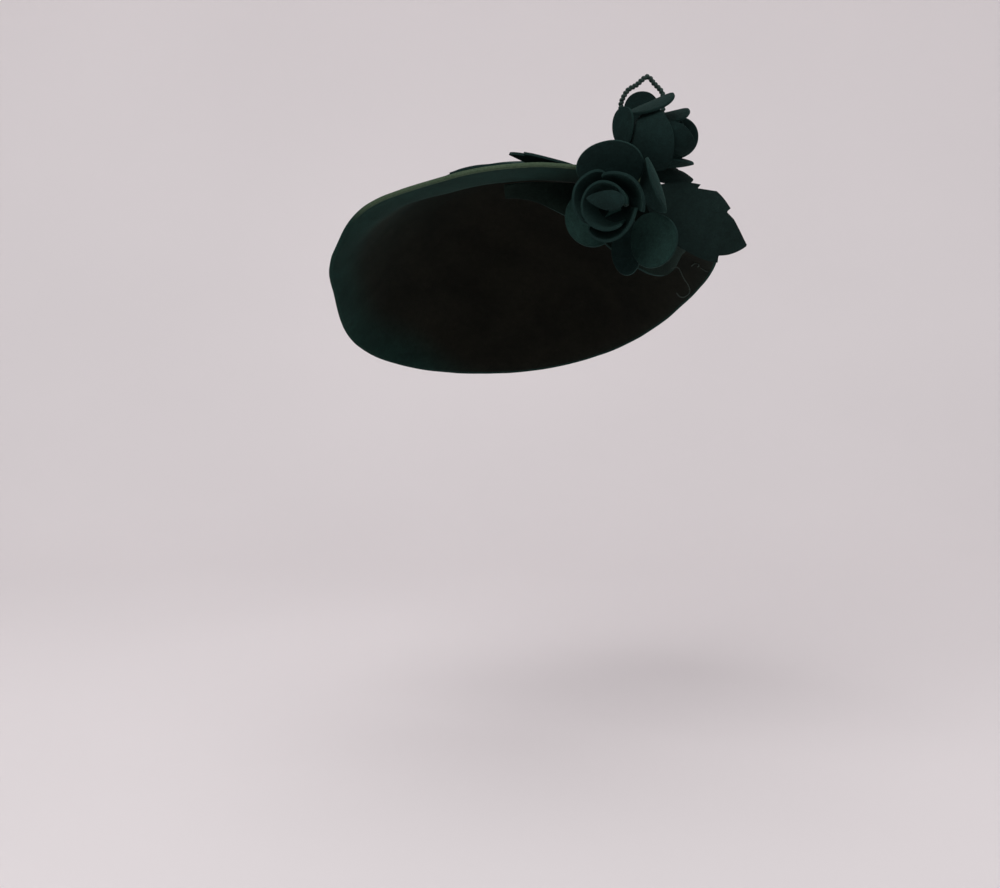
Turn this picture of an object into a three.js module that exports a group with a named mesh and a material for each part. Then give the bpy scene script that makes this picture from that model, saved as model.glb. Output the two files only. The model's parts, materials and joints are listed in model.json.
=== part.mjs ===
// A dark green velour felt hat with a front brim, a bandeau and a spray of two felt roses.
//
// Units are millimetres and +Z is up. The hat is held as it is worn, tipped back on the head: +X is to the
// right of someone facing the wearer and -Y points at them. The origin is the inside top of the crown, where
// the head carries the hat. Every felt piece starts as a flat blank of even thickness, which is then bent
// over a surface, as felt is blocked and curled by hand.

import * as THREE from 'three';
import { mergeVertices } from 'three/addons/utils/BufferGeometryUtils.js';

const { degToRad, radToDeg, lerp, smoothstep, euclideanModulo } = THREE.MathUtils;

// Makes the rows of a table into objects with the columns' names.
function table(columns, ...rows) {
  return rows.map((row) => Object.fromEntries(columns.map((column, i) => [column, row[i]])));
}

// Felt thicknesses
const BODY_FELT = 3;
const BANDEAU_FELT = 2;
const PETAL_FELT = 1.8;
const LEAF_FELT = 1.6;

// Crown and brim, in the hat's own frame with the rim level
const RIM_RADIUS = 120;
const CROWN_HEIGHT = 72;
const CROWN_FULLNESS = 1.8;
const BRIM_SLOPE = 0.3;
const CREASE_SOFTNESS = 6;
const WAVE_START = 0.62;
const CUT_EDGE_ROUND = 0.7;
const BODY_RINGS = 14;
const RING_CROWDING = 0.75;
const BODY_SIDES = 56;

// How the hat is tipped on the head, in degrees
const TIPPED_BACK = 37.7;
const TIPPED_SIDEWAYS = 6.6;

// The rim by bearing, in degrees counter-clockwise from +X, with the front at 270: how far it flares out and
// lifts from a level circle, and how wide the brim is before it creases up into the crown
const RIM = table(
  ['bearing', 'flare', 'lift', 'brim'],
  [0, 4.5, 0, 12],
  [30, -3.4, 0, 5],
  [100, 0, 0, 3],
  [147, 5.4, -1, 3],
  [180, -4.4, -1, 4],
  [203, 0, 0, 9],
  [226, 4.4, 2, 18],
  [250, -0.6, -0.6, 28],
  [275, -0.8, -1.4, 32],
  [295, -1, -2.6, 32],
  [330, 1, -1, 24],
);

// Bandeau: a crescent that hangs from the underside of the brim, deepest past its middle
const BANDEAU = {
  fromBearing: 268,
  toBearing: 357,
  fromRadius: 90,
  toRadius: 106,
  depth: 46,
  tipDepth: 5,
  skew: 1.45,
  sharpness: 1.3,
  inset: 7,
  clearance: 0.8,
  columns: 26,
  rows: 4,
};

// Roses: where the base of each is, the way its axis points and the way its turn 0 faces
const ROSES = table(
  ['name', 'base', 'axis', 'facing'],
  ['rose_low', [62, -133, -6], [-0.36, -0.93, 0.05], [0, 0, 1]],
  ['rose_high', [70, -106, 25.5], [0.95, -0.05, 0.27], [0, -1, 0]],
);

// The heart of each rose, a rolled strip: how far up the axis it starts, and the roll's inner radius, its
// pitch a turn, its turns, its height and how far it widens by the top
const HEARTS = table(
  ['rose', 'up', 'innerRadius', 'pitch', 'turns', 'height', 'flare'],
  ['rose_low', 9, 8.3, 3.2, 0.86, 16.5, 3.6],
  ['rose_high', 10, 1.25, 2.6, 1.7, 23, 1.6],
);
const HEART_COLUMNS = 30;
const HEART_ROWS = 2;

// Petals, by the turn of each about its rose's axis in degrees: how far out from the axis and up along it
// its base is, its length and width, how it leans out at its base and curls out by its tip, how its lip
// rolls, the radius of its hollow and its bank about its own length
const PETALS = table(
  ['name', 'turn', 'out', 'up', 'length', 'width', 'lean', 'curl', 'lip', 'cup', 'bank'],
  ['rose_low_wrap_1', 78, 4, 0, 30, 42, 66, -66, 12, 17.5, 7],
  ['rose_low_wrap_2', 198, 4, 0, 29, 42, 66, -66, 12, 17.5, 7],
  ['rose_low_wrap_3', 318, 4, 0, 31, 42, 66, -66, 12, 17.5, 7],
  ['rose_low_petal_1', 9, 6.4, -2.5, 32.5, 45, 61.5, 8, 0, 60, 8],
  ['rose_low_petal_2', -66, 12.5, -6, 35.5, 38, 86, -110, 0, 60, -4],
  ['rose_low_petal_3', -133, 12.5, -8, 33, 36, 72, 0, 0, 60, 4],
  ['rose_low_petal_4', 187, 6, -12, 36, 21, 78, 0, 0, 60, 0],
  ['rose_low_petal_5', 118, 2.5, -9.6, 33, 38, 72, 0, 0, 60, 4],
  ['rose_high_wrap_1', 25, 2, 1, 39, 34, 42, -44, 0, 13, 6],
  ['rose_high_wrap_2', 174, 2, 1, 43, 34, 42, -44, 0, 13, 6],
  ['rose_high_petal_1', -6, 7, -1, 32, 46, 62, -64, 0, 22, -5],
  ['rose_high_petal_2', 96, 2.5, -3, 41, 34, 50.5, -51, 0, 20, -5],
);

// Petals that stand free of a rose's round, and the flap that folds over the lower rose's heart: where the
// base of each is, the way its length runs, the way its outer side faces, and how far it tapers to its tip
const LOOSE_PETALS = table(
  ['name', 'base', 'along', 'facing', 'length', 'width', 'curl', 'lip', 'cup', 'taper'],
  ['rose_low_fold', [63, -165, -3], [-0.93, 0.36, 0.08], [-0.36, -0.93, 0.12], 23, 19, -12, -16, 13, 0.75],
  ['rose_high_petal_3', [69, -113, 45], [0.92, -0.02, 0.36], [0.1, -0.2, 0.97], 28, 24, 0, 10, 40, 0],
  ['rose_high_petal_4', [77.5, -94.5, 31], [0, 0.1, 1], [0, -1, 0.2], 27, 25, 0, 0, 40, 0],
  ['rose_high_petal_5', [65, -117, 25], [0.05, 0.1, 1], [-0.5, -0.85, 0], 24, 16, 0, 0, -14, 0],
  ['rose_high_petal_6', [84, -105, 41.8], [0.97, 0, 0.18], [0.05, -0.3, 0.95], 21, 20, 0, 16, 30, 0],
);
const PETAL_COLUMNS = 6;
const PETAL_ROWS = 6;
const PETAL_PINCH = 0.25;
const CURL_STEPS = 12;
const LIP_POWER = 4;

// Leaves are cut to one outline: half widths up the midrib on either side, as shares of the greatest, with a
// tooth and then a notch where the share drops; the edge runs forward of the midrib along the side veins
const LEAF_OUTLINE = table(
  ['at', 'left', 'right'],
  [0, 0.1, 0.1],
  [0.08, 0.5, 0.55],
  [0.18, 0.72, 0.82],
  [0.265, 0.81, 0.89],
  [0.275, 0.82, 0.76],
  [0.4, 0.86, 0.93],
  [0.52, 0.85, 0.82],
  [0.615, 0.8, 0.7],
  [0.625, 0.79, 0.56],
  [0.72, 0.71, 0.48],
  [0.73, 0.54, 0.46],
  [0.83, 0.42, 0.3],
  [0.93, 0.22, 0.12],
  [1, 0.02, 0.02],
);
const VEIN_SWEEP = 0.6;
const LEAF_COLUMNS = 4;
const LEAVES = table(
  ['name', 'base', 'along', 'facing', 'length', 'width', 'curl', 'lip', 'cup'],
  ['leaf_right', [76, -118, 1], [0.86, 0.16, -0.46], [0, -1, 0.1], 70, 44, 10, 0, 60],
  ['leaf_small', [78, -108, 8.8], [0.9, 0.1, 0.22], [-0.1, -0.6, 0.8], 32, 20, -46, 0, 40],
);

// Leaves that lie on the hat: the bearing and radius of the base of each, from which it runs round the hat
// with its midrib at that radius, and how far its tip lifts off the felt
const LYING_LEAVES = table(
  ['name', 'bearing', 'radius', 'length', 'width', 'tipLift'],
  ['leaf_top', 297, 102, 46, 26, 10],
  ['leaf_left', 279, 106, 60, 22, 1.5],
);
const LYING_GAP = 0.4;

// Wires that are wound with thread: the loop, which stands on the brim behind the upper rose, and a short
// stem that carries each rose on the brim
const STEM_ROUTES = {
  stem_loop: table(
    ['x', 'y', 'z'],
    [61, -96, 4.6],
    [61.5, -95, 12],
    [64, -91, 24],
    [66, -84, 36],
    [66, -81, 45],
    [66.2, -80, 51.3],
    [69.8, -80, 58],
    [75, -80, 61.2],
    [81.2, -80, 66],
    [85.4, -80, 62],
    [90, -80, 57],
    [91, -80.5, 51],
    [90, -82, 43],
    [88, -84, 33],
    [86, -87, 21],
    [85, -89.5, 9],
    [84.6, -90, -1],
  ),
  rose_high_stem: table(
    ['x', 'y', 'z'],
    [68.5, -106, 25.1],
    [65.5, -106.2, 24.2],
    [62.8, -106.6, 20.5],
    [61.8, -107, 15],
    [61.6, -107.2, 8.4],
  ),
  rose_low_stem: table(
    ['x', 'y', 'z'],
    [66.7, -120.9, -6.7],
    [67.5, -117.5, -6],
    [68, -114.5, -2],
    [68, -113.5, 3.6],
  ),
};
const STEM_RADIUS = 1.6;
const STEM_SIDES = 8;
const STEM_STEP_LENGTH = 2.4;

const WELD = 1e-4;
const SURFACE_STEP = 1e-3;

const bodyFinish = { color: 0x12332c, roughness: 0.95, metalness: 0 };
const petalFinish = { color: 0x143831, roughness: 0.95, metalness: 0 };
const leafFinish = { color: 0x16352f, roughness: 0.95, metalness: 0 };
const threadFinish = { color: 0x1c3a34, roughness: 0.8, metalness: 0 };

// Joins the corners that three.js keeps apart, so that a piece is one closed body.
function weld(geometry) {
  geometry.deleteAttribute('normal');
  geometry.deleteAttribute('uv');
  return mergeVertices(geometry, WELD);
}

// The point that lies off a surface along its normal, over a place on the flat.
function offSurface(surface, x, y, distance) {
  const here = surface(x, y);
  const across = surface(x + SURFACE_STEP, y).sub(here);
  const along = surface(x, y + SURFACE_STEP).sub(here);
  return here.addScaledVector(across.cross(along).normalize(), distance);
}

// Bends a flat blank over a surface, which runs through the middle of its thickness.
function bend(blank, surface) {
  const places = blank.getAttribute('position');
  for (let i = 0; i < places.count; i++) {
    const bent = offSurface(surface, places.getX(i), places.getY(i), places.getZ(i));
    places.setXYZ(i, bent.x, bent.y, bent.z);
  }
  blank.computeVertexNormals();
  return blank;
}

// A felt blank: outline takes a place on a square from -1 to 1 each way to a place on the flat sheet.
function feltBlank(columns, rows, thickness, outline) {
  const blank = weld(new THREE.BoxGeometry(2, 2, thickness, columns, rows, 1));
  const places = blank.getAttribute('position');
  for (let i = 0; i < places.count; i++) {
    const [x, y] = outline(places.getX(i), places.getY(i));
    places.setX(i, x);
    places.setY(i, y);
  }
  return blank;
}

// The outline of a blank whose surface takes the square as it is.
const asSquare = (x, y) => [x, y];

function namedMesh(name, geometry, finish) {
  const mesh = new THREE.Mesh(geometry, new THREE.MeshStandardMaterial(finish));
  mesh.name = name;
  return mesh;
}

// Turns an object so that its own Z runs along one direction and its own Y faces another as nearly as it can.
function aim(object, along, facing) {
  const z = new THREE.Vector3(...along).normalize();
  const x = new THREE.Vector3(...facing).cross(z).normalize();
  const y = new THREE.Vector3().crossVectors(z, x);
  object.quaternion.setFromRotationMatrix(new THREE.Matrix4().makeBasis(x, y, z));
  return object;
}

// Reads a column of the rim table at any bearing, easing from row to row round the hat.
function rimAt(column, bearing) {
  const turn = euclideanModulo(bearing, 360);
  const last = RIM.findLastIndex((row) => row.bearing <= turn);
  const row = RIM[last];
  const next = RIM[(last + 1) % RIM.length];
  const end = next.bearing > row.bearing ? next.bearing : next.bearing + 360;
  return lerp(row[column], next[column], smoothstep(turn, row.bearing, end));
}

function softMax(a, b, softness) {
  const blend = Math.max(0, 1 - Math.abs(a - b) / softness);
  return Math.max(a, b) + (softness / 4) * blend * blend;
}

// The middle of the body's felt above a point of its flat blank.
function bodySurface(x, y) {
  const radius = Math.hypot(x, y);
  const bearing = radToDeg(Math.atan2(y, x));
  const brimWidth = rimAt('brim', bearing);
  const creaseHeight = brimWidth * BRIM_SLOPE;
  const brim = (RIM_RADIUS - radius) * BRIM_SLOPE;
  const fall = (radius / (RIM_RADIUS - brimWidth)) ** CROWN_FULLNESS;
  const crown = lerp(CROWN_HEIGHT, creaseHeight, fall);
  const wave = smoothstep(radius, RIM_RADIUS * WAVE_START, RIM_RADIUS);
  const stretch = 1 + (wave * rimAt('flare', bearing)) / RIM_RADIUS;
  const height = softMax(brim, crown, CREASE_SOFTNESS) + wave * rimAt('lift', bearing);
  return new THREE.Vector3(x * stretch, y * stretch, height - CROWN_HEIGHT + BODY_FELT / 2);
}

// The point that lies off the body's felt at a bearing in radians and a radius of its flat blank.
function offBody(bearing, radius, distance) {
  return offSurface(bodySurface, radius * Math.cos(bearing), radius * Math.sin(bearing), distance);
}

// Crown and brim are one felt disc with a raw cut edge.
function bodyGeometry() {
  const half = BODY_FELT / 2;
  const upper = [];
  for (let ring = 0; ring < BODY_RINGS; ring++) {
    upper.push(new THREE.Vector2(RIM_RADIUS * (ring / BODY_RINGS) ** RING_CROWDING, half));
  }
  upper.push(new THREE.Vector2(RIM_RADIUS - CUT_EDGE_ROUND, half));
  upper.push(new THREE.Vector2(RIM_RADIUS, half - CUT_EDGE_ROUND));
  const lower = upper.map((point) => new THREE.Vector2(point.x, -point.y));
  const section = [...lower, ...upper.reverse()];
  const disc = new THREE.LatheGeometry(section, BODY_SIDES).rotateX(Math.PI / 2);
  return bend(weld(disc), bodySurface);
}

// The bandeau's crescent, from end to end along x and from its lower edge to its upper edge along y.
function bandeauSurface(x, y) {
  const share = (x + 1) / 2;
  const drop = (1 - y) / 2;
  const bearing = degToRad(lerp(BANDEAU.fromBearing, BANDEAU.toBearing, share));
  const radius = lerp(BANDEAU.fromRadius, BANDEAU.toRadius, share);
  const seam = offBody(bearing, radius, -BODY_FELT / 2 - BANDEAU.clearance);
  const swell = Math.max(0, Math.sin(Math.PI * share ** BANDEAU.skew)) ** BANDEAU.sharpness;
  const depth = lerp(BANDEAU.tipDepth, BANDEAU.depth, swell);
  const inward = 1 - (BANDEAU.inset * drop) / radius;
  return new THREE.Vector3(seam.x * inward, seam.y * inward, seam.z - depth * drop);
}

function bandeauGeometry() {
  return bend(feltBlank(BANDEAU.columns, BANDEAU.rows, BANDEAU_FELT, asSquare), bandeauSurface);
}

// A felt strip rolled up round the rose's axis.
function heartGeometry({ innerRadius, pitch, turns, height, flare }) {
  const rolled = (x, y) => {
    const turned = (turns * (x + 1)) / 2;
    const rise = (y + 1) / 2;
    const radius = innerRadius + pitch * turned + flare * rise;
    const angle = 2 * Math.PI * turned;
    return new THREE.Vector3(radius * Math.cos(angle), radius * Math.sin(angle), height * rise);
  };
  return bend(feltBlank(HEART_COLUMNS, HEART_ROWS, PETAL_FELT, asSquare), rolled);
}

// A curled sheet that starts at the origin along +Z: it curls towards +Y as it goes, its lip rolls further,
// and its sides come up towards -Y round a hollow.
function curledSurface({ length, curl, lip, cup }) {
  return (x, y) => {
    const step = y / CURL_STEPS;
    let out = 0;
    let up = 0;
    let lean = 0;
    for (let i = 0; i < CURL_STEPS; i++) {
      const share = ((i + 0.5) * step) / length;
      lean = degToRad(curl * share + lip * share ** LIP_POWER);
      out += step * Math.sin(lean);
      up += step * Math.cos(lean);
    }
    const rise = cup * (1 - Math.cos(x / cup));
    const across = cup * Math.sin(x / cup);
    return new THREE.Vector3(across, out - rise * Math.cos(lean), up + rise * Math.sin(lean));
  };
}

// A round petal: a square drawn out to a disc, pinched in towards its base and tapered to its tip.
function petalGeometry(petal) {
  const round = (x, y) => {
    const across = x * Math.sqrt(1 - (y * y) / 2);
    const along = y * Math.sqrt(1 - (x * x) / 2);
    const pinch = 1 - (PETAL_PINCH * (1 - along)) / 2;
    const taper = 1 - ((petal.taper ?? 0) * (1 + along)) / 2;
    return [(across * pinch * taper * petal.width) / 2, ((along + 1) * petal.length) / 2];
  };
  return bend(feltBlank(PETAL_COLUMNS, PETAL_ROWS, PETAL_FELT, round), curledSurface(petal));
}

function leafGeometry(leaf, surface) {
  const steps = LEAF_OUTLINE.length - 1;
  const serrated = (x, y) => {
    const row = LEAF_OUTLINE[Math.round(((y + 1) / 2) * steps)];
    const share = x < 0 ? row.left : row.right;
    const across = (x * share * leaf.width) / 2;
    return [across, row.at * leaf.length + VEIN_SWEEP * Math.abs(across)];
  };
  return bend(feltBlank(LEAF_COLUMNS, steps, LEAF_FELT, serrated), surface);
}

// A leaf that lies on the outside of the body and lifts off it towards its tip.
function lyingSurface({ bearing, radius, length, tipLift }) {
  const rest = BODY_FELT / 2 + LEAF_FELT / 2 + LYING_GAP;
  return (x, y) => offBody(degToRad(bearing) - y / radius, radius - x, rest + tipLift * (y / length) ** 2);
}

// A wire that is wound with thread, as one round rod along its route.
function stemGeometry(places) {
  const route = new THREE.CatmullRomCurve3(places.map(({ x, y, z }) => new THREE.Vector3(x, y, z)));
  const steps = Math.ceil(route.getLength() / STEM_STEP_LENGTH);
  const corners = [];
  for (let side = 0; side < STEM_SIDES; side++) {
    const angle = (2 * Math.PI * side) / STEM_SIDES;
    corners.push(new THREE.Vector2(STEM_RADIUS * Math.cos(angle), STEM_RADIUS * Math.sin(angle)));
  }
  const section = new THREE.Shape(corners);
  const rod = weld(new THREE.ExtrudeGeometry(section, { extrudePath: route, steps }));
  rod.computeVertexNormals();
  return rod;
}

// The body, the bandeau and the leaves that lie on the hat, tipped together about the inside of the crown.
function makeTippedHat() {
  const back = new THREE.Group();
  back.rotation.x = -degToRad(TIPPED_BACK);
  back.add(namedMesh('hat_body', bodyGeometry(), bodyFinish));
  back.add(namedMesh('bandeau', bandeauGeometry(), bodyFinish));
  for (const leaf of LYING_LEAVES) {
    back.add(namedMesh(leaf.name, leafGeometry(leaf, lyingSurface(leaf)), leafFinish));
  }
  const sideways = new THREE.Group();
  sideways.rotation.y = -degToRad(TIPPED_SIDEWAYS);
  sideways.add(back);
  return sideways;
}

// A petal set round a rose's axis: banked and leaned at its base, then moved out and turned.
function makePetal(petal) {
  const mesh = namedMesh(petal.name, petalGeometry(petal), petalFinish);
  mesh.position.set(0, petal.out, petal.up);
  mesh.rotation.set(-degToRad(petal.lean), 0, degToRad(petal.bank));
  const station = new THREE.Group();
  station.rotation.z = degToRad(petal.turn);
  station.add(mesh);
  return station;
}

function makeRose({ name, base, axis, facing }) {
  const rose = aim(new THREE.Group(), axis, facing);
  rose.position.set(...base);
  const heart = HEARTS.find((row) => row.rose === name);
  const roll = namedMesh(`${name}_heart`, heartGeometry(heart), petalFinish);
  roll.position.z = heart.up;
  rose.add(roll);
  for (const petal of PETALS.filter((row) => row.name.startsWith(name))) rose.add(makePetal(petal));
  return rose;
}

// Sets a leaf or petal by its base, the way its length runs and the way it faces.
function placeFreely(mesh, { base, along, facing }) {
  aim(mesh, along, facing).position.set(...base);
  return mesh;
}

const hat = new THREE.Group();
hat.add(makeTippedHat());
for (const rose of ROSES) hat.add(makeRose(rose));
for (const petal of LOOSE_PETALS) {
  hat.add(placeFreely(namedMesh(petal.name, petalGeometry(petal), petalFinish), petal));
}
for (const leaf of LEAVES) {
  hat.add(placeFreely(namedMesh(leaf.name, leafGeometry(leaf, curledSurface(leaf)), leafFinish), leaf));
}
for (const [name, places] of Object.entries(STEM_ROUTES)) {
  hat.add(namedMesh(name, stemGeometry(places), threadFinish));
}

export default hat;
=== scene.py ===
# %% [markdown]
# A dark green velour hat is dressed here for its portrait. Its construction comes ready made: a packed
# model with one solid for each piece of felt, all in one frame, in metres. This lesson gives each piece its
# finished surface, adds the thread that the solids leave out, and sets up a stage, light and a camera.

# %% Load the frame
import json
import math

import bmesh
import bpy
from mathutils import Matrix, Vector

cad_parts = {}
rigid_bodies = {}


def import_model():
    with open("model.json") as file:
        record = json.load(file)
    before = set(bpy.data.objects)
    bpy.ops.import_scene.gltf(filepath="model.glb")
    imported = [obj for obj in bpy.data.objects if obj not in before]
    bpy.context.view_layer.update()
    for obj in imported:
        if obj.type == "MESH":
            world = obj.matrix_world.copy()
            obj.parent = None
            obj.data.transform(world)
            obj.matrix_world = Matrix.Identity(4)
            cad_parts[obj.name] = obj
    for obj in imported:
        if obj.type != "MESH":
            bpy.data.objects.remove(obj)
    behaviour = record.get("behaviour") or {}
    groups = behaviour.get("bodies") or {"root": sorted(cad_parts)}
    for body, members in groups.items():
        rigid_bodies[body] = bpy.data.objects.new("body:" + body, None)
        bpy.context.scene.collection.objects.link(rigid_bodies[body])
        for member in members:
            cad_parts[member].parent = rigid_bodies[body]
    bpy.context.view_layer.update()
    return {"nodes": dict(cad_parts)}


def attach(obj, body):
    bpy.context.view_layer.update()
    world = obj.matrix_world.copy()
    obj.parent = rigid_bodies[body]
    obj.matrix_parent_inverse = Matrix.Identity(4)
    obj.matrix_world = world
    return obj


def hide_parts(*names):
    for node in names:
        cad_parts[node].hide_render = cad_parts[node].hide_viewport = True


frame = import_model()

print("nodes in the frame:", len(frame["nodes"]))

# %% [markdown]
# The camera comes first, because everything is judged through it. It stands about 1.2 m in front of the hat,
# level with the upper rose, and looks down by ten degrees. A focal length of about 70 mm keeps the round of
# the brim natural. Blender's camera looks along its own -Z, so a level view is a turn of 90 degrees about X.

# %% Camera
CAMERA_PLACE = (-0.0057, -1.2609, 0.0539)
CAMERA_DIP = math.radians(10)
CAMERA_LENS = 70.74

bpy.ops.object.camera_add(location=CAMERA_PLACE, rotation=(math.pi / 2 - CAMERA_DIP, 0, 0))
camera = bpy.context.object
camera.name = "portrait_camera"
camera.data.lens = CAMERA_LENS
camera.data.sensor_fit = "HORIZONTAL"
bpy.context.scene.camera = camera
print("camera at", tuple(round(v, 3) for v in camera.location), "lens", camera.data.lens)

# %% [markdown]
# The stage is a sweep, one pale sheet that runs from the floor up into a wall without a corner, so that no
# line crosses the picture. By hand it is a plane whose far edge is pulled up, and the fold is then bevelled
# wide. The hat is shown at the height at which it is worn, well above the floor.

# %% Stage
FLOOR_HEIGHT = -0.37
STAGE_WIDTH = 6.0
STAGE_BACK = 1.1
WALL_HEIGHT = 3.0
FOLD_RADIUS = 0.6
FOLD_SEGMENTS = 16
SELECT_SLACK = 0.01


def only(piece):
    """Selects one object and makes it the active one."""
    bpy.ops.object.select_all(action="DESELECT")
    piece.select_set(True)
    bpy.context.view_layer.objects.active = piece


def place_in_mesh(piece):
    """Moves a piece's place, turn and scale into its mesh, so that its object sits at the origin."""
    only(piece)
    bpy.ops.object.transform_apply(location=True, rotation=True, scale=True)


bpy.ops.object.select_all(action="DESELECT")
bpy.ops.mesh.primitive_plane_add(size=STAGE_WIDTH, location=(0, STAGE_BACK - STAGE_WIDTH / 2, FLOOR_HEIGHT))
sweep = bpy.context.object
sweep.name = "sweep"
place_in_mesh(sweep)
bpy.ops.object.mode_set(mode="EDIT")
bpy.ops.mesh.select_mode(type="EDGE")
bpy.ops.mesh.select_all(action="DESELECT")
floor_mesh = bmesh.from_edit_mesh(sweep.data)
for edge in floor_mesh.edges:
    edge.select_set(all(vert.co.y > STAGE_BACK - SELECT_SLACK for vert in edge.verts))
bmesh.update_edit_mesh(sweep.data)
bpy.ops.mesh.extrude_region_move(TRANSFORM_OT_translate={"value": (0, 0, WALL_HEIGHT)})
bpy.ops.mesh.select_all(action="DESELECT")
floor_mesh = bmesh.from_edit_mesh(sweep.data)
for edge in floor_mesh.edges:
    at_back = all(vert.co.y > STAGE_BACK - SELECT_SLACK for vert in edge.verts)
    at_floor = all(vert.co.z < FLOOR_HEIGHT + SELECT_SLACK for vert in edge.verts)
    edge.select_set(at_back and at_floor)
bmesh.update_edit_mesh(sweep.data)
bpy.ops.mesh.bevel(offset=FOLD_RADIUS, segments=FOLD_SEGMENTS, affect="EDGES")
bpy.ops.object.mode_set(mode="OBJECT")
bpy.ops.object.shade_smooth()
print("stage faces:", len(sweep.data.polygons))

# %% [markdown]
# A material is a small graph of nodes. These helpers keep the graphs short: one starts a material and hands
# back its shader, one makes a noise at a given feature size, and the next three spread a noise over two
# colours, two greys or two numbers. The last two mix colours and raise bumps. The coordinates are Object
# coordinates, in metres, so a noise of scale 1000 has features of about a millimetre.

# %% Material helpers
def start_material(name):
    """A new material, with its node tree and its shader."""
    material = bpy.data.materials.new(name)
    material.use_nodes = True
    return material, material.node_tree, material.node_tree.nodes["Principled BSDF"]


def noise(tree, feature, detail=3.0, distortion=0.0):
    """A noise whose features are about that many metres across."""
    place = tree.nodes.new("ShaderNodeTexCoord")
    texture = tree.nodes.new("ShaderNodeTexNoise")
    texture.inputs["Scale"].default_value = 1 / feature
    texture.inputs["Detail"].default_value = detail
    texture.inputs["Distortion"].default_value = distortion
    tree.links.new(place.outputs["Object"], texture.inputs["Vector"])
    return texture.outputs["Fac"]


def spread(tree, factor, dark, light, low=0.35, high=0.65):
    """Spreads a factor over two colours."""
    ramp = tree.nodes.new("ShaderNodeValToRGB")
    ramp.color_ramp.elements[0].position = low
    ramp.color_ramp.elements[0].color = (*dark, 1)
    ramp.color_ramp.elements[1].position = high
    ramp.color_ramp.elements[1].color = (*light, 1)
    tree.links.new(factor, ramp.inputs["Fac"])
    return ramp.outputs["Color"]


GREY_BAND = (0.3, 0.7)


def shade(tree, factor, tones):
    """Spreads a factor over two greys, by which a colour is then multiplied."""
    dark, light = ((tone, tone, tone) for tone in tones)
    return spread(tree, factor, dark, light, *GREY_BAND)


def between(tree, factor, low, high):
    """Spreads a factor over two numbers."""
    reach = tree.nodes.new("ShaderNodeMapRange")
    reach.inputs["To Min"].default_value = low
    reach.inputs["To Max"].default_value = high
    tree.links.new(factor, reach.inputs["Value"])
    return reach.outputs["Result"]


def blend(tree, first, second, share, kind="MIX"):
    """Mixes two colours."""
    mix = tree.nodes.new("ShaderNodeMix")
    mix.data_type = "RGBA"
    mix.blend_type = kind
    mix.inputs["Factor"].default_value = share
    tree.links.new(first, mix.inputs["A"])
    tree.links.new(second, mix.inputs["B"])
    return mix.outputs["Result"]


def raise_bumps(tree, shader, layers):
    """Adds layers of bumps, each a height and its depth in metres."""
    last = None
    for height, depth in layers:
        bump = tree.nodes.new("ShaderNodeBump")
        bump.inputs["Distance"].default_value = depth
        tree.links.new(height, bump.inputs["Height"])
        if last is not None:
            tree.links.new(last, bump.inputs["Normal"])
        last = bump.outputs["Normal"]
    tree.links.new(last, shader.inputs["Normal"])


# %% [markdown]
# Velour is felt whose nap is raised and cropped, so it looks like velvet. Seen straight on it swallows light,
# and at a glancing angle the ends of the pile catch it. The Principled shader has a sheen lobe for just that.
# Broad brushed patches vary the colour, and finer noises break up the surface as the pile does. Inside the
# crown the body's velour fades to a dull olive brown by an attribute of its mesh, which a later step fills
# in.
# That darkening is partly the pile worn flat and partly painted shade, for the shadow of the head it is worn
# on.

# %% Velour
SHEEN_TINT = (0.2, 0.5, 0.42, 1)
BRUSHED_SIZE = 0.03
TUFT_SIZE = 0.0034
NAP_SIZE = 0.0009
PILE_SIZE = 0.0004
NAP_DEPTH = 0.00022
PILE_DEPTH = 0.00014
TUFT_TONES = (0.82, 1.16)
NAP_TONES = (0.8, 1.18)
VELOUR_ROUGHNESS = (0.84, 0.98)
VELOUR_GLOSS = 0.1
VELOUR_SHEEN_SPREAD = 0.45
# Dull olive browns for inside the crown: partly worn pile, partly painted shade
WORN_AND_SHADED_BROWNS = ((0.0042, 0.0042, 0.0026), (0.0072, 0.007, 0.0044))


def fade(tree, first, second, attribute):
    """Mixes two colours by an attribute of the mesh, from 0 to 1."""
    mixed = blend(tree, first, second, 0.0)
    share = tree.nodes.new("ShaderNodeAttribute")
    share.attribute_name = attribute
    tree.links.new(share.outputs["Fac"], mixed.node.inputs["Factor"])
    return mixed


def make_velour(name, greens, sheen, worn_and_shaded_by=None):
    """Dark velour, with brushed patches, tufts and a fine nap, darkened by wear and painted shade where an
    attribute says so.
    """
    material, tree, shader = start_material(name)
    brushed = noise(tree, BRUSHED_SIZE, detail=3, distortion=0.8)
    colour = spread(tree, brushed, *greens)
    if worn_and_shaded_by:
        colour = fade(tree, colour, spread(tree, brushed, *WORN_AND_SHADED_BROWNS), worn_and_shaded_by)
    tufts = noise(tree, TUFT_SIZE, detail=3, distortion=0.6)
    nap = noise(tree, NAP_SIZE, detail=3)
    pile = noise(tree, PILE_SIZE, detail=2)
    colour = blend(tree, colour, shade(tree, tufts, TUFT_TONES), 1.0, "MULTIPLY")
    colour = blend(tree, colour, shade(tree, nap, NAP_TONES), 1.0, "MULTIPLY")
    tree.links.new(colour, shader.inputs["Base Color"])
    tree.links.new(between(tree, nap, *VELOUR_ROUGHNESS), shader.inputs["Roughness"])
    shader.inputs["Specular IOR Level"].default_value = VELOUR_GLOSS
    shader.inputs["Sheen Weight"].default_value = sheen
    shader.inputs["Sheen Roughness"].default_value = VELOUR_SHEEN_SPREAD
    shader.inputs["Sheen Tint"].default_value = SHEEN_TINT
    raise_bumps(tree, shader, ((nap, NAP_DEPTH), (pile, PILE_DEPTH)))
    return material


# The attribute that darkens the body's velour, by wear and by painted shade
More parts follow.
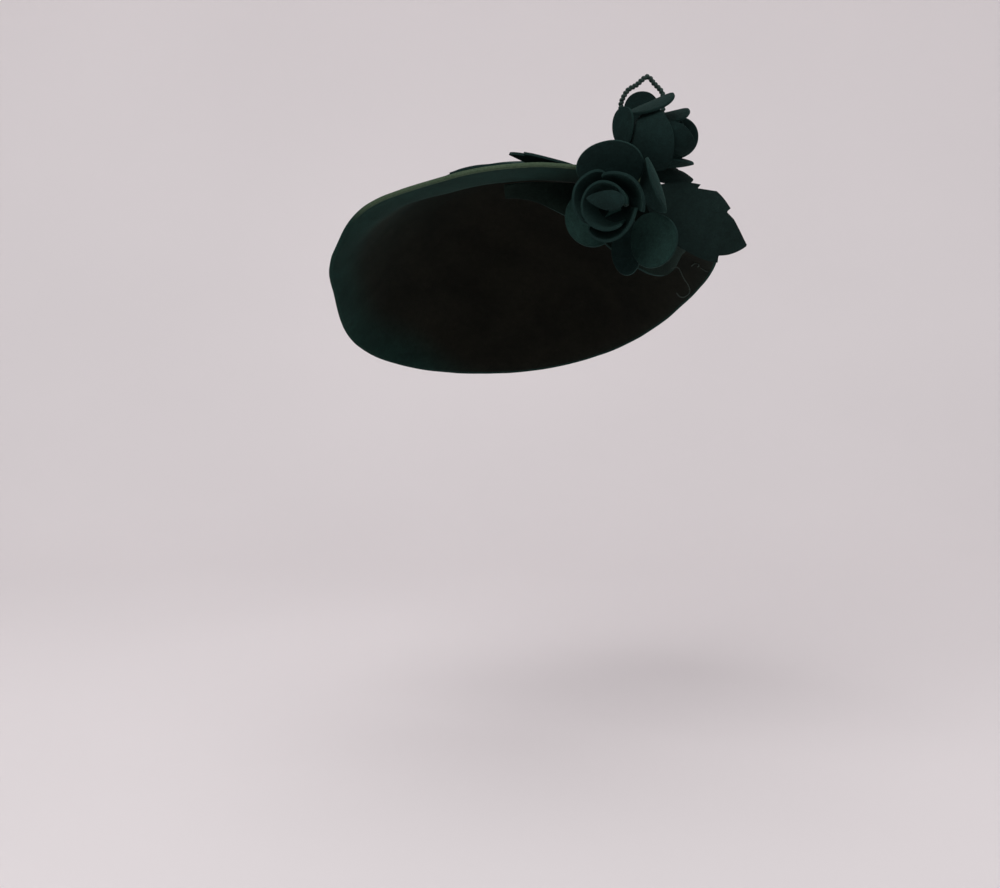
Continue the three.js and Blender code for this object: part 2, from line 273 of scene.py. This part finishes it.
WEAR_AND_SHADE_SHARE = "wear_and_shade_share"
BODY_GREENS = ((0.0032, 0.0142, 0.0112), (0.0046, 0.0205, 0.0162))
PETAL_GREENS = ((0.0042, 0.0118, 0.0108), (0.006, 0.0168, 0.0155))
# Lighter greens as painted light, for petals that the lamps leave in shadow
PAINTED_LIGHT_GREENS = ((0.0066, 0.0196, 0.0166), (0.0094, 0.0272, 0.0232))
LEAF_GREENS = ((0.0042, 0.0102, 0.009), (0.0058, 0.014, 0.0125))
BODY_VELOUR = make_velour("body_velour", BODY_GREENS, sheen=0.07, worn_and_shaded_by=WEAR_AND_SHADE_SHARE)
PETAL_VELOUR = make_velour("petal_velour", PETAL_GREENS, sheen=0.11)
PAINTED_LIGHT_VELOUR = make_velour("painted_light_velour", PAINTED_LIGHT_GREENS, sheen=0.12)
LEAF_VELOUR = make_velour("leaf_velour", LEAF_GREENS, sheen=0.1)
print("velours:", [material.name for material in bpy.data.materials])

# %% [markdown]
# Where felt is cut, its core shows. On the body the cut edge has faded to a pale olive along the front of
# the brim, where the light has reached it most, and keeps its green towards the sides and the back. That
# fade is a matter of place, so it is read from the Y of the Object coordinates. The petals, the leaves and
# the bandeau are cut from fresher felt, whose edge is hardly lighter than its face.

# %% Cut felt
FADED_FROM = -0.103
FADED_TO = -0.117
FIBRE_SIZE = 0.0009
FIBRE_DEPTH = 0.0003
CUT_ROUGHNESS = (0.86, 1.0)
CUT_GLOSS = 0.08
CUT_SHEEN = 0.1
CUT_SHEEN_SPREAD = 0.5


def front_share(tree):
    """0 at the sides and the back of the hat, rising to 1 at its front."""
    place = tree.nodes.new("ShaderNodeTexCoord")
    parts = tree.nodes.new("ShaderNodeSeparateXYZ")
    reach = tree.nodes.new("ShaderNodeMapRange")
    reach.interpolation_type = "SMOOTHSTEP"
    reach.inputs["From Min"].default_value = FADED_FROM
    reach.inputs["From Max"].default_value = FADED_TO
    tree.links.new(place.outputs["Object"], parts.inputs["Vector"])
    tree.links.new(parts.outputs["Y"], reach.inputs["Value"])
    return reach.outputs["Result"]


def make_cut_felt(name, greens, faded=None):
    """The raw core of the felt, open in texture, with the colours it fades to at the front if it does."""
    material, tree, shader = start_material(name)
    fibre = noise(tree, FIBRE_SIZE, detail=5, distortion=1.0)
    colour = spread(tree, fibre, *greens)
    if faded:
        colour = blend(tree, colour, spread(tree, fibre, *faded), 0.0)
        tree.links.new(front_share(tree), colour.node.inputs["Factor"])
    tree.links.new(colour, shader.inputs["Base Color"])
    tree.links.new(between(tree, fibre, *CUT_ROUGHNESS), shader.inputs["Roughness"])
    shader.inputs["Specular IOR Level"].default_value = CUT_GLOSS
    shader.inputs["Sheen Weight"].default_value = CUT_SHEEN
    shader.inputs["Sheen Roughness"].default_value = CUT_SHEEN_SPREAD
    shader.inputs["Sheen Tint"].default_value = SHEEN_TINT
    raise_bumps(tree, shader, ((fibre, FIBRE_DEPTH),))
    return material


FADED_OLIVES = ((0.034, 0.055, 0.032), (0.062, 0.088, 0.054))
RIM_GREENS = ((0.0045, 0.016, 0.0125), (0.007, 0.023, 0.0185))
TRIM_GREENS = ((0.006, 0.0165, 0.0148), (0.0095, 0.0235, 0.0215))
RIM_FELT = make_cut_felt("rim_felt", RIM_GREENS, FADED_OLIVES)
TRIM_FELT = make_cut_felt("trim_felt", TRIM_GREENS)
print("cut edges:", RIM_FELT.name, TRIM_FELT.name)

# %% [markdown]
# The stage is lit by the lamps below, so its own material only needs a pale matt paint with the faintest
# unevenness, as real paper has.

# %% Stage paint
PAPER_SIZE = 0.5
PAPER_TONES = ((0.766, 0.715, 0.724), (0.796, 0.743, 0.752))
PAPER_ROUGHNESS = 0.9
PAPER_GLOSS = 0.2


def make_stage_paint():
    """A pale matt paint, hardly uneven."""
    material, tree, shader = start_material("stage_paint")
    tone = spread(tree, noise(tree, PAPER_SIZE, detail=2), *PAPER_TONES)
    tree.links.new(tone, shader.inputs["Base Color"])
    shader.inputs["Roughness"].default_value = PAPER_ROUGHNESS
    shader.inputs["Specular IOR Level"].default_value = PAPER_GLOSS
    return material


sweep.data.materials.append(make_stage_paint())
print("the stage is painted with", sweep.active_material.name)

# %% [markdown]
# A felt piece starts as a copy of its solid. The solid's mesh is loose triangles, so the copy's corners are
# merged and its triangles paired into quads, which subdivide smoothly. The narrow faces between the two sides
# of a sheet are where the felt was cut: such a face has two sharp edges that don't meet. They take the colour
# of the felt's core.

# %% Felt helpers
MERGE_DISTANCE = 1e-5
QUAD_BEND = math.radians(60)
QUAD_SKEW = math.radians(80)
SHARP_ANGLE = math.radians(32)


def copy_solid(node, name):
    """A copy of a solid of the frame, as a new piece with merged corners and quads."""
    mesh = frame["nodes"][node].data.copy()
    mesh.materials.clear()
    piece = bpy.data.objects.new(name, mesh)
    bpy.context.scene.collection.objects.link(piece)
    only(piece)
    bpy.ops.mesh.customdata_custom_splitnormals_clear()
    bpy.ops.object.mode_set(mode="EDIT")
    bpy.ops.mesh.select_all(action="SELECT")
    bpy.ops.mesh.remove_doubles(threshold=MERGE_DISTANCE)
    bpy.ops.mesh.tris_convert_to_quads(face_threshold=QUAD_BEND, shape_threshold=QUAD_SKEW)
    bpy.ops.object.mode_set(mode="OBJECT")
    return piece


def is_cut(face):
    """Whether a face lies between two sharp edges that don't meet."""
    sharp = [edge for edge in face.edges if edge.calc_face_angle(0) > SHARP_ANGLE]
    return any(not set(a.verts) & set(b.verts) for a in sharp for b in sharp)


def paint_cut_faces(piece, face_material, cut_material):
    """Gives a piece its two materials, the second on the faces where the felt was cut."""
    piece.data.materials.append(face_material)
    piece.data.materials.append(cut_material)
    only(piece)
    bpy.ops.object.mode_set(mode="EDIT")
    bpy.ops.mesh.select_mode(type="FACE")
    bpy.ops.mesh.select_all(action="DESELECT")
    mesh = bmesh.from_edit_mesh(piece.data)
    cut = [face for face in mesh.faces if is_cut(face)]
    for face in cut:
        face.select_set(True)
    bmesh.update_edit_mesh(piece.data)
    piece.active_material_index = 1
    bpy.ops.object.material_slot_assign()
    bpy.ops.object.mode_set(mode="OBJECT")
    return len(cut)


# %% [markdown]
# Felt is soft: its edges are round, and no sheet of it lies quite true. Sculpting every piece by hand would
# take long, so three modifiers do it: a bevel rounds the sharp edges, a subdivision smooths the facets, and
# a displacement by a coloured cloud lets the surface stray. They are applied at once, so that each finished
# piece is a plain mesh.

# %% Soft felt
WOBBLE_SIZE = 0.022
ROUND_SEGMENTS = 2
SMOOTH_LEVELS = 2


def make_wobble():
    """A coloured cloud, whose three channels push a mesh three ways."""
    wobble = bpy.data.textures.new("felt_wobble", "CLOUDS")
    wobble.cloud_type = "COLOR"
    wobble.noise_scale = WOBBLE_SIZE
    wobble.noise_depth = 1
    return wobble


FELT_WOBBLE = make_wobble()
print("felt strays by", FELT_WOBBLE.name, "of", WOBBLE_SIZE, "m")


def apply_modifiers(piece):
    """Applies every modifier of a piece in order."""
    only(piece)
    for name in [modifier.name for modifier in piece.modifiers]:
        bpy.ops.object.modifier_apply(modifier=name)


def soften(piece, edge_round, wobble):
    """Rounds a piece's edges, smooths its surface and lets the felt stray a little, as soft felt does."""
    if edge_round:
        bevel = piece.modifiers.new("round_edges", "BEVEL")
        bevel.width = edge_round
        bevel.segments = ROUND_SEGMENTS
        bevel.limit_method = "ANGLE"
        bevel.angle_limit = SHARP_ANGLE
    smooth = piece.modifiers.new("smooth", "SUBSURF")
    smooth.levels = SMOOTH_LEVELS
    smooth.render_levels = SMOOTH_LEVELS
    stray = piece.modifiers.new("stray", "DISPLACE")
    stray.texture = FELT_WOBBLE
    stray.texture_coords = "LOCAL"
    stray.direction = "RGB_TO_XYZ"
    stray.space = "LOCAL"
    stray.mid_level = 0.5
    stray.strength = wobble
    apply_modifiers(piece)
    bpy.ops.object.shade_smooth()


def dress(node, face_material, cut_material, edge_round, wobble):
    """Makes the finished felt piece that stands for a solid."""
    piece = copy_solid(node, node + "_felt")
    cut = paint_cut_faces(piece, face_material, cut_material)
    soften(piece, edge_round, wobble)
    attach(piece, "root")
    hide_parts(node)
    print(piece.name, "cut faces", cut, "faces", len(piece.data.polygons))
    return piece


# %% [markdown]
# Crown and brim are one felt cone, blocked over a wooden form, and its edge is left raw. The bandeau below
# the brim is cut from the same felt. Both are finished copies of their solids.

# %% Body and bandeau
body = dress("hat_body", BODY_VELOUR, RIM_FELT, edge_round=0, wobble=0.0008)
bandeau = dress("bandeau", BODY_VELOUR, TRIM_FELT, edge_round=0.0004, wobble=0.001)

# %% [markdown]
# The darkening inside the crown has to be told to the material. It is partly wear and partly painted shade,
# for the shadow of the head the hat is worn on. The hat is modelled tipped back and a little sideways, as it
# is worn, so each corner of the mesh is first turned back to a hat that stands level. A corner that faces
# down there lies on the inside, and the higher it lies above the rim, the darker and browner it is painted.
# The green margin below that is broad at the front and on one side, and elsewhere the darkening comes down to
# the rim. The bandeau is painted half dark all over, and that is painted shade.

# %% Wear and painted shade inside the crown
TIPPED_BACK = math.radians(37.7)
TIPPED_SIDEWAYS = math.radians(6.6)
GREEN_MARGIN_BEARING = math.radians(205)
# The cosines from that bearing between which the margin grows to its full breadth
GREEN_MARGIN_ASIDE = (-0.25, 0.4)
# The heights in a level hat between which the felt goes from green to worn and shaded, with a broad margin
# and without
BROAD_GREEN_MARGIN = (-0.0712, -0.05)
NARROW_GREEN_MARGIN = (-0.088, -0.066)
# The bandeau's share is all painted shade, for the shadow of the head and the brim above it
BANDEAU_PAINTED_SHADE = 0.55
HALF_WORN_AND_SHADED = 0.5


def ease(value, low, high):
    """A smooth step from 0 at one value to 1 at the other."""
    share = min(1, max(0, (value - low) / (high - low)))
    return share * share * (3 - 2 * share)


def wear_and_shade_at(place):
    """How worn and shaded the inside of a level hat is at a place."""
    aside = math.cos(math.atan2(place.y, place.x) - GREEN_MARGIN_BEARING)
    broad = ease(aside, *GREEN_MARGIN_ASIDE)
    low, high = (a + (b - a) * broad for a, b in zip(NARROW_GREEN_MARGIN, BROAD_GREEN_MARGIN))
    return ease(place.z, low, high)


def mark_wear_and_shade(piece, all_over=None):
    """Fills the attribute that says how worn and shaded each corner of a piece is."""
    tipped = Matrix.Rotation(-TIPPED_SIDEWAYS, 3, "Y") @ Matrix.Rotation(-TIPPED_BACK, 3, "X")
    level = tipped.inverted()
    wear_and_shade = piece.data.attributes.new(WEAR_AND_SHADE_SHARE, "FLOAT", "POINT")
    for vert in piece.data.vertices:
        inside = (level @ vert.normal).z < 0
        found = wear_and_shade_at(level @ vert.co) if inside else 0
        wear_and_shade.data[vert.index].value = found if all_over is None else all_over
    return sum(corner.value > HALF_WORN_AND_SHADED for corner in wear_and_shade.data)


print("worn corners of the body:", mark_wear_and_shade(body), "of", len(body.data.vertices))
# The bandeau's corners counted below are darkened only by painted shade
print("worn corners of the bandeau:", mark_wear_and_shade(bandeau, BANDEAU_PAINTED_SHADE))

# %% [markdown]
# The roses are rounds of thinner felt, cupped by hand and sewn one over the other. Each petal stays a piece
# of its own. Two of the lower rose's outer petals have a lighter copy of the velour: painted light, which
# lifts them out of the shadow that the heart of the rose casts on them.

# %% Roses
# The petals that get the painted light
PAINTED_LIGHT_PETALS = ("rose_low_petal_3", "rose_low_petal_5")

for node in sorted(frame["nodes"]):
    if node.startswith("rose") and not node.endswith("stem"):
        velour = PAINTED_LIGHT_VELOUR if node in PAINTED_LIGHT_PETALS else PETAL_VELOUR
        dress(node, velour, TRIM_FELT, edge_round=0.0004, wobble=0.0013)

# %% [markdown]
# The leaves are cut with saw teeth, and a sharp tooth has to stay sharp, so their edges are rounded less.

# %% Leaves
for node in sorted(frame["nodes"]):
    if node.startswith("leaf"):
        dress(node, LEAF_VELOUR, TRIM_FELT, edge_round=0.00012, wobble=0.0014)

# %% [markdown]
# The loop behind the upper rose is a stiff wire wound with thread, and a short wire of the same kind carries
# each rose. The routes are those of the solids, in millimetres. A smooth path is run through each list, with
# a frame that is carried along it without twisting, so that a winding can go round it evenly.

# %% Wire routes
MM = 0.001
MEASURE_STEP = 0.001
WIRE_ROUTES = {
    "stem_loop": (
        (61, -96, 4.6), (61.5, -95, 12), (64, -91, 24), (66, -84, 36), (66, -81, 45), (66.2, -80, 51.3),
        (69.8, -80, 58), (75, -80, 61.2), (81.2, -80, 66), (85.4, -80, 62), (90, -80, 57), (91, -80.5, 51),
        (90, -82, 43), (88, -84, 33), (86, -87, 21), (85, -89.5, 9), (84.6, -90, -1),
    ),
    "rose_high_stem": (
        (68.5, -106, 25.1), (65.5, -106.2, 24.2), (62.8, -106.6, 20.5), (61.8, -107, 15), (61.6, -107.2, 8.4),
    ),
    "rose_low_stem": (
        (66.7, -120.9, -6.7), (67.5, -117.5, -6), (68, -114.5, -2), (68, -113.5, 3.6),
    ),
}


def smooth_path(places, step):
    """Points about one step apart on a smooth curve through places in millimetres."""
    spots = [Vector(place) * MM for place in places]
    ends = [2 * spots[0] - spots[1], *spots, 2 * spots[-1] - spots[-2]]
    path = []
    for before, here, there, after in zip(ends, ends[1:], ends[2:], ends[3:]):
        count = max(2, round((there - here).length / step))
        for i in range(count):
            t = i / count
            bend = (there - before) * t + (2 * before - 5 * here + 4 * there - after) * t ** 2
            path.append(here + (bend + (3 * here - before - 3 * there + after) * t ** 3) / 2)
    return [*path, spots[-1]]


def path_length(path):
    """The length of a path in metres."""
    return sum((there - here).length for here, there in zip(path, path[1:]))


def carry_frames(path):
    """For each point of a path, two directions square to it that turn no more than the path does."""
    side = (path[1] - path[0]).orthogonal().normalized()
    frames = []
    for i in range(len(path)):
        run = (path[min(i + 1, len(path) - 1)] - path[max(i - 1, 0)]).normalized()
        side = (side - run * side.dot(run)).normalized()
        frames.append((side, run.cross(side)))
    return frames


for node, places in WIRE_ROUTES.items():
    print(node, "wire length", round(path_length(smooth_path(places, MEASURE_STEP)), 4), "m")

# %% [markdown]
# Thread is spun from dyed fibres, so it is duller than wire and a little uneven in colour. Noises on Object
# coordinates give it both, as they give the felt its nap: a broad one for the dye, a fine one for the fibres.

# %% Thread finish
DYE_SIZE = 0.004
SPUN_SIZE = 0.00035
SPUN_DEPTH = 0.00012
SPUN_TONES = (0.65, 1.25)
THREAD_ROUGHNESS = (0.6, 0.85)
THREAD_GLOSS = 0.25
THREAD_SHEEN = 0.15


def make_thread_finish(name, greens):
    """Spun thread: fine fibres, a little sheen and a slightly uneven dye."""
    material, tree, shader = start_material(name)
    dyed = spread(tree, noise(tree, DYE_SIZE, detail=2), *greens)
    fibre = noise(tree, SPUN_SIZE, detail=4, distortion=1.5)
    colour = blend(tree, dyed, shade(tree, fibre, SPUN_TONES), 1.0, "MULTIPLY")
    tree.links.new(colour, shader.inputs["Base Color"])
    tree.links.new(between(tree, fibre, *THREAD_ROUGHNESS), shader.inputs["Roughness"])
    shader.inputs["Specular IOR Level"].default_value = THREAD_GLOSS
    shader.inputs["Sheen Weight"].default_value = THREAD_SHEEN
    shader.inputs["Sheen Tint"].default_value = SHEEN_TINT
    raise_bumps(tree, shader, ((fibre, SPUN_DEPTH),))
    return material


WOUND_GREENS = ((0.009, 0.022, 0.018), (0.015, 0.033, 0.027))
SEWING_GREENS = ((0.015, 0.024, 0.019), (0.026, 0.038, 0.03))
WOUND_THREAD = make_thread_finish("wound_thread", WOUND_GREENS)
SEWING_THREAD = make_thread_finish("sewing_thread", SEWING_GREENS)


def finish_thread(piece, material):
    """Gives a thread its finish and lets it ride on the hat."""
    piece.data.materials.append(material)
    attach(piece, "root")


print("threads:", WOUND_THREAD.name, SEWING_THREAD.name)

# %% [markdown]
# A thread is easiest as a curve with a round bevel, made a mesh when its course is right. The winding is a
# helix: it steps along the wire and goes round it by one turn for each thread's width. A plain core below it
# closes the gaps between the turns.

# %% Winding
THREAD_ROUNDNESS = 3
WINDING_PITCH = 0.0023
WINDING_THREAD = 0.00105
WINDING_REACH = 0.00062
WINDING_CORE = 0.0011
POINTS_A_TURN = 10


def make_thread(name, path, radius):
    """A round thread along a path, as a mesh."""
    course = bpy.data.curves.new(name, "CURVE")
    course.dimensions = "3D"
    course.bevel_depth = radius
    course.bevel_resolution = THREAD_ROUNDNESS
    course.use_fill_caps = True
    spline = course.splines.new("POLY")
    spline.points.add(len(path) - 1)
    for point, place in zip(spline.points, path):
        point.co = (*place, 1)
    thread = bpy.data.objects.new(name, course)
    bpy.context.scene.collection.objects.link(thread)
    only(thread)
    bpy.ops.object.convert(target="MESH")
    bpy.ops.object.shade_smooth()
    return bpy.context.object


def wind(path):
    """The course of a thread that is wound round a path."""
    course = []
    gone = 0.0
    for i, (side, other) in enumerate(carry_frames(path)):
        if i:
            gone += (path[i] - path[i - 1]).length
        turned = 2 * math.pi * gone / WINDING_PITCH
        course.append(path[i] + (side * math.cos(turned) + other * math.sin(turned)) * WINDING_REACH)
    return course


for node, places in WIRE_ROUTES.items():
    path = smooth_path(places, WINDING_PITCH / POINTS_A_TURN)
    core = make_thread(node + "_core", smooth_path(places, WINDING_PITCH), WINDING_CORE)
    winding = make_thread(node + "_winding", wind(path), WINDING_THREAD)
    bpy.ops.object.select_all(action="DESELECT")
    core.select_set(True)
    winding.select_set(True)
    bpy.context.view_layer.objects.active = winding
    bpy.ops.object.join()
    finish_thread(winding, WOUND_THREAD)
    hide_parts(node)
    print(winding.name, "faces", len(winding.data.polygons))

# %% [markdown]
# Where the trim was sewn on by hand, its thread still shows. A tail hangs curled from the lower edge of the
# bandeau, and a few stitches cross the inside of the brim behind it. The tail is free, and its length is
# printed.

# %% Sewing threads
SEWING_RADIUS = 0.00027
THREAD_STEP = 0.0005
TAIL_PLACES = (
    (96.6, -88.2, -46.6), (99.2, -86.8, -45.9), (101.4, -86, -47), (104.1, -86, -52.4), (106.9, -86, -56.6),
    (108, -86, -59.8), (107.2, -86, -62.2), (104.6, -86, -63.9), (102, -86, -63.6), (100.1, -86, -61.4),
)

tail_path = smooth_path(TAIL_PLACES, THREAD_STEP)
tail = make_thread("thread_tail", tail_path, SEWING_RADIUS)
finish_thread(tail, SEWING_THREAD)
print("thread tail", round(path_length(tail_path), 4), "m")

# %% [markdown]
# The stitches lie on the felt. Each place is moved to the nearest point of the body and lifted by the
# thread's own radius, and the two ends dip below the surface, as a stitch does where the needle went through.

# %% Stitches
STITCH_PLACES = {
    "stitch_hook": (
        (113.8, -27, -51.6), (114.8, -29, -50), (116.4, -31, -48.6), (118.4, -31.5, -48.8),
        (118.6, -30.5, -50.4), (117.4, -29, -51.6),
    ),
    "stitch_run": ((119.6, -29.5, -51.8), (121.4, -29.5, -52.6), (123.2, -29, -53.6), (124.8, -28.6, -54.2)),
}


def lay_on_felt(place, lift):
    """The point that lies over a place on the body's surface."""
    _, spot, normal, _ = body.closest_point_on_mesh(Vector(place) * MM)
    return (spot + normal * lift) / MM


for name, places in STITCH_PLACES.items():
    lifts = [-SEWING_RADIUS, *(SEWING_RADIUS for _ in places[2:]), -SEWING_RADIUS]
    laid = [lay_on_felt(place, lift) for place, lift in zip(places, lifts)]
    stitch = make_thread(name, smooth_path(laid, THREAD_STEP), SEWING_RADIUS)
    finish_thread(stitch, SEWING_THREAD)
    print(name, "faces", len(stitch.data.polygons))

# %% [markdown]
# Soft studio light: one wide lamp in front, to the left and above, a weaker one to the right, one over the
# wall behind the hat, and a pale world that fills the shadows.

# %% Light
HAT_MIDDLE = (0, 0, -0.05)
WALL_MIDDLE = (0, 0.8, 0)
WORLD_COLOUR = (0.95, 0.96, 1, 1)
WORLD_STRENGTH = 0.25


def add_lamp(name, place, aim_at, size, power):
    """A square area lamp that points at a place."""
    bpy.ops.object.light_add(type="AREA", location=place)
    lamp = bpy.context.object
    lamp.name = name
    lamp.rotation_euler = (Vector(aim_at) - Vector(place)).to_track_quat("-Z", "Y").to_euler()
    lamp.data.size = size
    lamp.data.energy = power
    print(name, power, "W")


add_lamp("key_lamp", (-0.6, -1.25, 1.5), HAT_MIDDLE, size=1.1, power=23)
add_lamp("fill_lamp", (1.4, -1.2, 0.5), HAT_MIDDLE, size=1.2, power=5.5)
add_lamp("wall_lamp", (0, -0.4, 2.2), WALL_MIDDLE, size=2.0, power=16.5)
world = bpy.data.worlds.new("pale_world")
bpy.context.scene.world = world
world.use_nodes = True
world.node_tree.nodes["Background"].inputs["Color"].default_value = WORLD_COLOUR
world.node_tree.nodes["Background"].inputs["Strength"].default_value = WORLD_STRENGTH
bpy.context.scene.view_settings.view_transform = "Standard"
